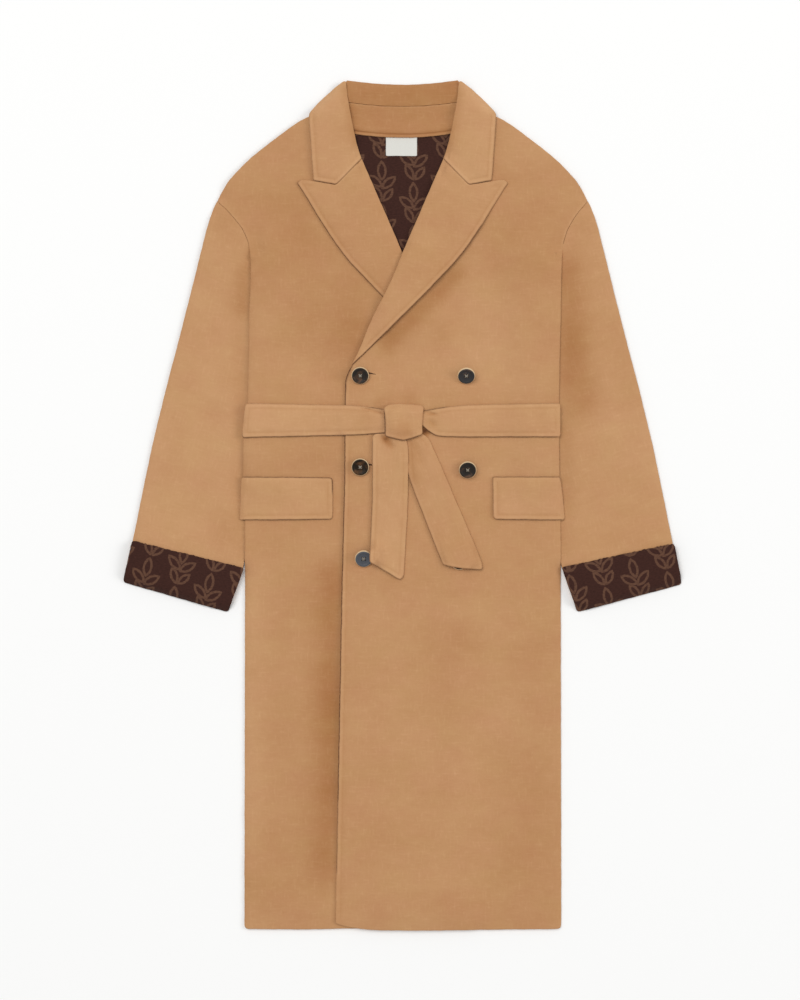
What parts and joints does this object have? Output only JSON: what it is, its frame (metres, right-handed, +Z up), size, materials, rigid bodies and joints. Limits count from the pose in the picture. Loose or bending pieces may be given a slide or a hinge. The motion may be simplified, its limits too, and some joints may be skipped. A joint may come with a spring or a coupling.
{
  "type": "belted coat",
  "caption": "Long double-breasted wool coat with notched lapels, turned-back dark cuffs, pocket flaps and a knotted tie belt, laid flat with the front up.",
  "frame": {"origin": "on the surface the coat lies on, under the middle of the coat, on the back panel's underside", "axes": "+X to the wearer's left, +Y up to the collar, +Z up from the surface, out of the front"},
  "size_m": [0.8082, 1.2315, 0.0332],
  "materials": {
    "camel_wool": "double-faced wool coating with a soft brushed nap",
    "brown_inner_face": "dark brown wool face with a tan line pattern",
    "woven_label": "plain woven label tape",
    "dark_horn": "polished dark horn"
  },
  "bodies": {
    "root": {"back": "camel_wool", "back_inner_face": "brown_inner_face", "neck_label": "woven_label", "collar_stand": "camel_wool", "collar_fold": "camel_wool", "collar_leaf_back": "camel_wool", "collar_leaf_left": "camel_wool", "collar_leaf_right": "camel_wool", "front_left": "camel_wool", "front_right": "camel_wool", "lapel_left": "camel_wool", "lapel_right": "camel_wool", "sleeve_left_top": "camel_wool", "sleeve_left_under": "camel_wool", "sleeve_right_top": "camel_wool", "sleeve_right_under": "camel_wool", "cuff_left_top": "brown_inner_face", "cuff_left_under": "brown_inner_face", "cuff_right_top": "brown_inner_face", "cuff_right_under": "brown_inner_face", "pocket_flap_left": "camel_wool", "pocket_flap_right": "camel_wool", "belt_back": "camel_wool", "belt_run_left": "camel_wool", "belt_run_right": "camel_wool", "belt_knot": "camel_wool", "belt_tail_left": "camel_wool", "belt_tail_right": "camel_wool", "button_left_top": "dark_horn", "button_left_middle": "dark_horn", "button_left_low": "dark_horn", "button_right_top": "dark_horn", "button_right_middle": "dark_horn", "button_right_low": "dark_horn"}
  },
  "joints": []
}
